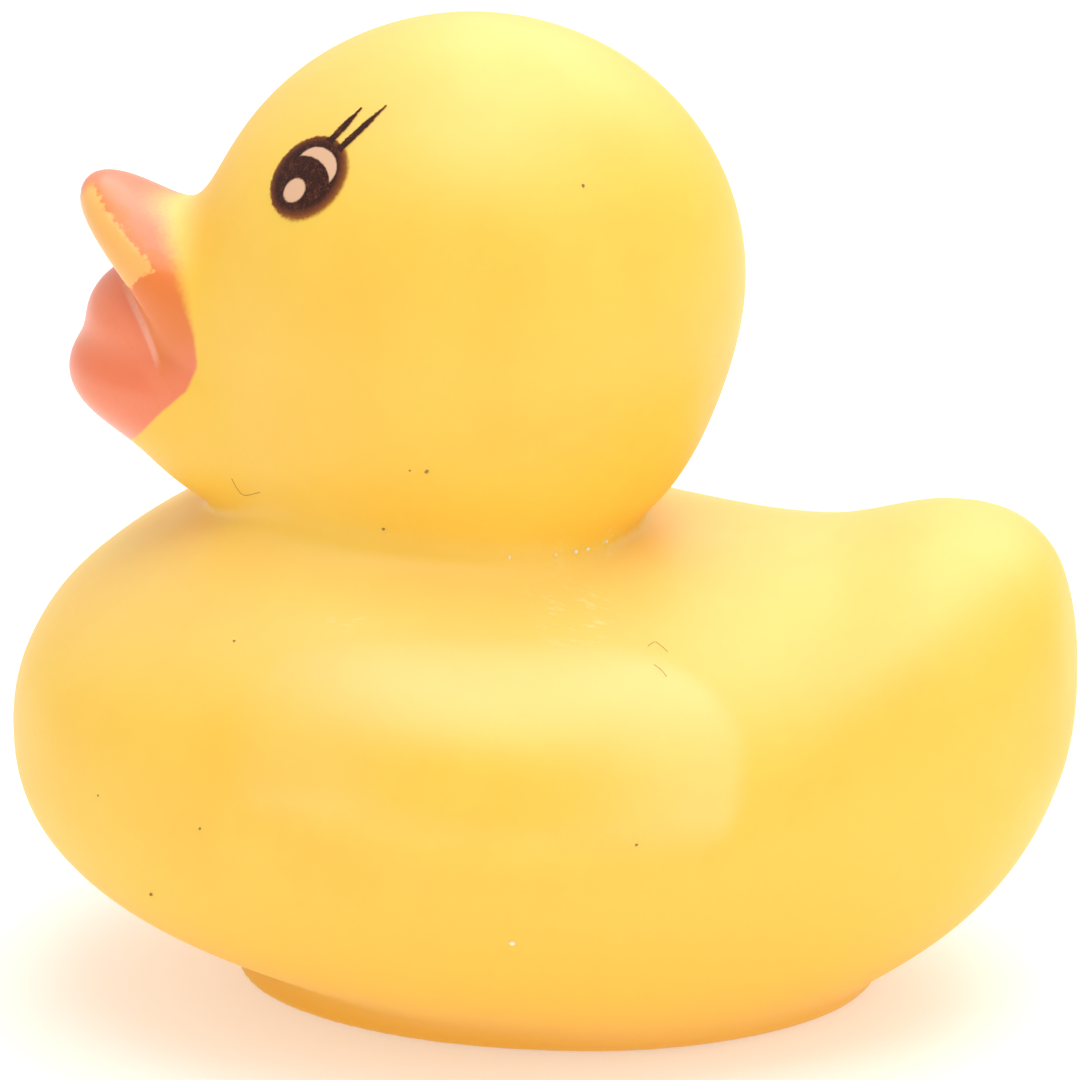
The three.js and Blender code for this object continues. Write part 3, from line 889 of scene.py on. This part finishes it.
def eye_material(paint):
    """Brown-black ink on the vinyl: an iris with a bare crescent and catchlight, and two lashes."""
    material, tree, shader = new_material("eye_ink", Specular_IOR_Level=0.16)
    place = object_place(tree)
    height, mottle, _ = satin_grain(tree, place, grain=7000.0)
    flat = add_node(tree, "ShaderNodeUVMap", uv_map="print")
    split = add_node(tree, "ShaderNodeSeparateXYZ", {"Vector": flat.outputs["UV"]})
    u, v = (product(tree, minus(tree, split.outputs[axis], 0.5), PRINT_SPAN) for axis in "XY")
    wobble = unevenness(tree, place, INK["wobble_scale"], INK["wobble"])

    iris = plus(tree, spot(tree, u, v, (0, 0), IRIS["radii"], IRIS["tilt"]), wobble)
    lashes = smaller(tree, *(
        plus(tree, stroke(tree, u, v, lash), product(tree, wobble, 0.9)) for lash in LASHES))
    low_right = ramp(tree, minus(tree, u, v), -0.6, 1.6)
    edge = calc(tree, "DIVIDE", iris, plus(tree, INK["sharp"], product(tree, low_right, INK["soft"])))
    covered = larger(tree, ramp(tree, edge, 1.0, -1.0), ramp(tree, lashes, 0.04, -0.04))

    blotch = ramp(tree, noise(tree, place, INK["blotch_scale"], 4.0, 0.75), *INK["blotch_share"])
    grit = ramp(tree, noise(tree, place, INK["grit_scale"], 2.0, 0.6), *INK["grit_share"])
    rim = ramp(tree, plus(tree, iris, product(tree, low_right, 0.2)), *INK["rim"])
    rim = product(tree, rim, ramp(tree, lashes, -0.02, 0.10))
    brown = larger(tree, product(tree, blotch, INK["blotch_weight"]), rim)
    halo = product(tree, ramp(tree, edge, *INK["halo"]), rim)
    ink = blend_colours(tree, brown, opaque(paint.ink), opaque(paint.ink_brown))
    ink = blend_colours(tree, product(tree, grit, INK["grit_weight"]), ink, opaque(paint.ink_grit))
    ink = blend_colours(tree, halo, ink, opaque(paint.ink_halo))
    ink = blend_colours(tree, bare_places(tree, u, v, wobble), ink, opaque(paint.lid))
    connect(tree, ink, shader, "Base Color")
    connect(tree, covered, shader, "Alpha")
    connect(tree, ramp(tree, mottle, 0.2, 0.8, 0.5, 0.62), shader, "Roughness")
    grained(tree, height, 0.12, shader)
    return material


def dust_material(name, dark, light):
    material, tree, shader = new_material(name)
    amount = noise(tree, object_place(tree), 3000.0)
    connect(tree, blend_colours(tree, amount, opaque(dark), opaque(light)), shader, "Base Color")
    connect(tree, ramp(tree, amount, 0.2, 0.8, 0.7, 0.95), shader, "Roughness")
    return material


def floor_material():
    material, tree, shader = new_material(
        "studio_floor", Base_Color=(0.78, 0.78, 0.78, 1), Emission_Color=(1, 1, 1, 1),
        Emission_Strength=0.33)
    amount = noise(tree, object_place(tree), 20.0)
    connect(tree, ramp(tree, amount, 0.2, 0.8, 0.65, 0.8), shader, "Roughness")
    return material


# ------------------------------------------------------------------ geometry node trees

def dust_tree(kind):
    """Grains on points, or round fibres along edges."""
    tree = bpy.data.node_groups.new("dust_" + kind, "GeometryNodeTree")
    face = tree.interface
    face.new_socket("Geometry", in_out="INPUT", socket_type="NodeSocketGeometry")
    face.new_socket("Size", in_out="INPUT", socket_type="NodeSocketFloat").default_value = 0.0001
    face.new_socket("Seed", in_out="INPUT", socket_type="NodeSocketInt").default_value = 4
    face.new_socket("Finish", in_out="INPUT", socket_type="NodeSocketMaterial")
    face.new_socket("Geometry", in_out="OUTPUT", socket_type="NodeSocketGeometry")
    given, result = tree.nodes.new("NodeGroupInput"), tree.nodes.new("NodeGroupOutput")
    if kind == "grains":
        grain = add_node(tree, "GeometryNodeMeshIcoSphere", {
            "Radius": given.outputs["Size"], "Subdivisions": 2})
        size = add_node(tree, "GeometryNodeInputNamedAttribute", {"Name": "size"}, data_type="FLOAT")
        shape = add_node(tree, "FunctionNodeRandomValue", {
            "Min": (0.6, 0.5, 0.5), "Max": (1.5, 1.0, 0.9), "Seed": given.outputs["Seed"],
        }, data_type="FLOAT_VECTOR")
        turn = add_node(tree, "FunctionNodeRandomValue", {
            "Max": (math.tau,) * 3, "Seed": given.outputs["Seed"]}, data_type="FLOAT_VECTOR")
        scale = add_node(tree, "ShaderNodeVectorMath", {
            0: shape.outputs[0], "Scale": size.outputs["Attribute"]}, operation="SCALE")
        made = add_node(tree, "GeometryNodeInstanceOnPoints", {
            "Points": given.outputs["Geometry"], "Instance": grain.outputs["Mesh"],
            "Rotation": turn.outputs[0], "Scale": scale.outputs[0]})
        made = made.outputs["Instances"]
    else:
        path = add_node(tree, "GeometryNodeMeshToCurve", {"Mesh": given.outputs["Geometry"]})
        smooth = add_node(
            tree, "GeometryNodeCurveSplineType", {"Curve": path.outputs[0]}, spline_type="CATMULL_ROM")
        profile = add_node(tree, "GeometryNodeCurvePrimitiveCircle", {
            "Resolution": 6, "Radius": given.outputs["Size"]})
        tube = add_node(tree, "GeometryNodeCurveToMesh", {
            "Curve": smooth.outputs[0], "Profile Curve": profile.outputs["Curve"], "Fill Caps": True})
        made = tube.outputs["Mesh"]
    real = add_node(tree, "GeometryNodeRealizeInstances", {0: made})
    finish = add_node(tree, "GeometryNodeSetMaterial", {
        "Geometry": real.outputs[0], "Material": given.outputs["Finish"]})
    tree.links.new(finish.outputs[0], result.inputs[0])
    return tree


def grown(name, source, tree, inputs):
    """The plain mesh that a tree makes from a source object, which is removed."""
    modifier = source.modifiers.new("dust", "NODES")
    modifier.node_group = tree
    for item in tree.interface.items_tree:
        if item.in_out == "INPUT" and item.name in inputs:
            modifier[item.identifier] = inputs[item.name]
    graph = bpy.context.evaluated_depsgraph_get()
    mesh = bpy.data.meshes.new_from_object(source.evaluated_get(graph), depsgraph=graph)
    source.modifiers.remove(modifier)
    bpy.data.objects.remove(source)
    mesh.name = name
    mesh.shade_smooth()
    if not mesh.polygons:
        raise RuntimeError(f"{name} came out empty")
    piece = bpy.data.objects.new(name, mesh)
    bpy.context.scene.collection.objects.link(piece)
    return piece


# ------------------------------------------------------------------ operators

# Spacing of the skin's grid at the bill and elsewhere, and the share of the first used at the base.
SKIN_GRID = {"full": (0.3, 0.46), "quick": (0.5, 0.9), "base_share": 0.8}
FLOOR_HALF = 1500
# Soft boxes in metres: place, width and power. They point at LIT_POINT.
LIT_POINT = (0, 0, 0.02)
SOFTBOXES = {
    "overhead": ((0.05, 0.03, 0.42), 0.34, 0.80),
    "far_side": ((-0.28, 0.08, 0.34), 0.36, 0.62),
    "rear": ((0.22, 0.40, 0.28), 0.30, 0.25),
}


class DUCK_OT_skin(bpy.types.Operator):
    """Builds the moulded skin, with the places of its paint, its wear and its painted light"""
    bl_idname = "duck.skin"
    bl_label = "Moulded skin"

    def execute(self, context):
        fine, medium = SKIN_GRID["full"]
        low = SKIN_GRID["base_share"] * fine
        lines = (
            grid_lines([(-24.4, -8.4, medium), (-8.4, 8.4, fine), (8.4, 24.4, medium)]),
            grid_lines([(-28.4, -25.4, medium), (-25.4, -15.4, fine), (-15.4, 28.4, medium)]),
            grid_lines([
                (-0.7, 1.7, low), (1.7, 24.2, medium), (24.2, 44.6, fine), (44.6, 52.0, medium)]),
        )
        points, quads = surface(duck, lines)
        piece = new_mesh("moulded_skin", points, quads)
        down, _, past_rim = rim_distance(*points.T)
        add_values(piece, "paint", paint_depth(points))
        add_values(piece, "scuff", scuff_weight(points))
        # Painted light on up-facing skin and on the wing pads' shoulder.
        add_values(piece, "painted_top_light", painted_top_light_weight(points))
        add_values(piece, "down_rim", down)
        add_values(piece, "behind_rim", -past_rim)
        piece.data.materials.append(vinyl_material(context.scene.duck_paint))
        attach(piece, "root")
        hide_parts(NODE)
        return {"FINISHED"}


class DUCK_OT_eyes(bpy.types.Operator):
    """Lays the printed eyes on both cheeks"""
    bl_idname = "duck.eyes"
    bl_label = "Eye prints"

    def execute(self, context):
        material = eye_material(context.scene.duck_paint)
        points, faces, flat = eye_film()
        for name, side in (("eye_print_left", 1), ("eye_print_right", -1)):
            ordered = faces if side > 0 else [face[::-1] for face in faces]
            piece = new_mesh(name, points * (side, 1, 1), ordered)
            layer = piece.data.uv_layers.new(name="print")
            for loop in piece.data.loops:
                layer.data[loop.index].uv = flat[loop.vertex_index] / PRINT_SPAN + 0.5
            piece.data.materials.append(material)
            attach(piece, "root")
        return {"FINISHED"}


class DUCK_OT_dust(bpy.types.Operator):
    """Scatters the few grains and fibres that cling to the skin"""
    bl_idname = "duck.dust"
    bl_label = "Dust"

    def execute(self, context):
        dark = dust_material("dust_dark", (0.26, 0.14, 0.04), (0.46, 0.28, 0.10))
        pale = dust_material("dust_pale", (0.85, 0.72, 0.50), (0.95, 0.88, 0.74))
        grains = dust_tree("grains")
        for name, places, finish in (
                ("dust_grains_dark", DARK_GRAINS, dark), ("dust_grains_pale", PALE_GRAINS, pale)):
            points = onto_surface(duck, places[:, :3].copy())
            source = new_mesh(name + "_points", points, [])
            add_values(source, "size", places[:, 3])
            self.settle(grown(name, source, grains, {"Size": MM, "Seed": 4, "Finish": finish}))
        points = onto_surface(duck, np.concatenate([np.array(run) for run in FIBRES]))
        ends = np.cumsum([len(run) for run in FIBRES])
        edges = [(i, i + 1) for i in range(len(points) - 1) if i + 1 not in ends]
        source = new_mesh("dust_fibre_paths", points, [], edges)
        inputs = {"Size": FIBRE_RADIUS * MM, "Finish": dark}
        self.settle(grown("dust_fibres", source, dust_tree("fibres"), inputs))
        return {"FINISHED"}

    @staticmethod
    def settle(piece):
        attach(piece, "root")


class DUCK_OT_stage(bpy.types.Operator):
    """Builds the floor, the lights and the camera"""
    bl_idname = "duck.stage"
    bl_label = "Stage"

    def execute(self, context):
        stage = context.scene.duck_stage
        corners = [(FLOOR_HALF * x, FLOOR_HALF * y, 0) for x, y in ((-1, -1), (1, -1), (1, 1), (-1, 1))]
        floor = new_mesh("floor", corners, [(0, 1, 2, 3)])
        floor.data.materials.append(floor_material())
        floor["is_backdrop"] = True

        world = bpy.data.worlds.new("studio")
        world.use_nodes = True
        background = world.node_tree.nodes["Background"]
        background.inputs["Color"].default_value = (1, 1, 1, 1)
        background.inputs["Strength"].default_value = stage.surround
        context.scene.world = world

        for name, (place, size, power) in SOFTBOXES.items():
            light = bpy.data.lights.new(name, "AREA")
            light.size = size
            light.energy = power
            self.aimed(name, light, Vector(place), Vector(LIT_POINT))

        back = Vector((
            math.sin(stage.azimuth) * math.cos(stage.elevation),
            -math.cos(stage.azimuth) * math.cos(stage.elevation),
            math.sin(stage.elevation)))
        camera = bpy.data.cameras.new("camera")
        camera.lens = stage.lens
        camera.clip_start = 0.01
        holder = self.aimed("camera", camera, Vector(stage.aim) + back * stage.distance, Vector(stage.aim))
        context.scene.camera = holder
        context.scene.view_settings.view_transform = "Standard"
        return {"FINISHED"}

    @staticmethod
    def aimed(name, data, place, target):
        holder = bpy.data.objects.new(name, data)
        bpy.context.scene.collection.objects.link(holder)
        holder.location = place
        holder.rotation_mode = "QUATERNION"
        holder.rotation_quaternion = (target - place).to_track_quat("-Z", "Y")
        return holder


class DUCK_PT_panel(bpy.types.Panel):
    """Shows the duck's settings and the buttons for the steps that build it"""
    bl_idname = "DUCK_PT_panel"
    bl_label = "Duck"
    bl_space_type = "VIEW_3D"
    bl_region_type = "UI"
    bl_category = "Duck"

    def draw(self, context):
        for settings in (context.scene.duck_paint, context.scene.duck_stage):
            for name in settings.__annotations__:
                self.layout.prop(settings, name)
        for step in STEPS:
            self.layout.operator(step)


SETTINGS = {"duck_paint": DuckPaintSettings, "duck_stage": DuckStageSettings}
CLASSES = (*SETTINGS.values(), DUCK_OT_skin, DUCK_OT_eyes, DUCK_OT_dust, DUCK_OT_stage, DUCK_PT_panel)
STEPS = ("duck.skin", "duck.eyes", "duck.dust", "duck.stage")


def register():
    for cls in CLASSES:
        bpy.utils.register_class(cls)
    for name, cls in SETTINGS.items():
        setattr(bpy.types.Scene, name, PointerProperty(type=cls))


def unregister():
    for name in SETTINGS:
        delattr(bpy.types.Scene, name)
    for cls in reversed(CLASSES):
        bpy.utils.unregister_class(cls)


def main():
    register()
    for step in STEPS:
        group, name = step.split(".")
        getattr(getattr(bpy.ops, group), name)()
    {"cad": CAD_BOX, "visual": [list(corner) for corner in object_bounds()]}


if __name__ == "__main__":
    main()
